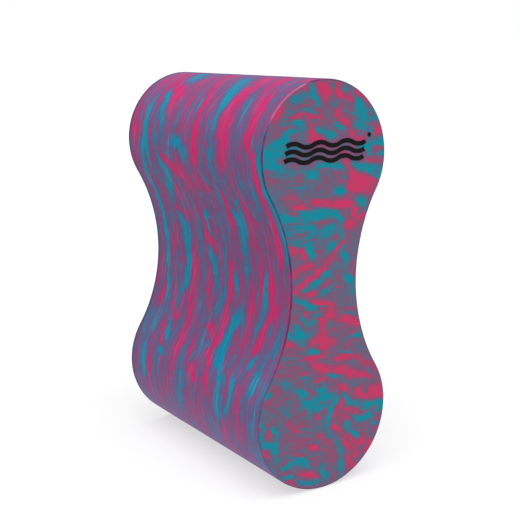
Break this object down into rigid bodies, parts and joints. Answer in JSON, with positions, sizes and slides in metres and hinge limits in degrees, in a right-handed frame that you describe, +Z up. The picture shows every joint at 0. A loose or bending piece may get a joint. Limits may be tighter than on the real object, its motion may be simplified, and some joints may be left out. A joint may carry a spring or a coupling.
{
  "type": "pull buoy",
  "caption": "Figure-8 block of marbled foam that a swimmer holds between the thighs, its waist curved in on both sides, with a small printed wave mark on the front face.",
  "frame": {"origin": "on the ground under the centre of the float, standing on its larger lobe", "axes": "+Z up along the figure-8 outline, from the larger lobe to the smaller; -Y towards the printed front face; X across the waist, where the thighs press"},
  "size_m": [0.088, 0.1532, 0.23],
  "materials": {
    "foam": "matte closed-cell foam, marbled pink, teal and mauve",
    "ink": "flat black printed ink"
  },
  "bodies": {
    "root": {"foam_float": "foam", "print_bar_lower": "ink", "print_bar_middle": "ink", "print_bar_upper": "ink", "print_dot": "ink"}
  },
  "joints": []
}
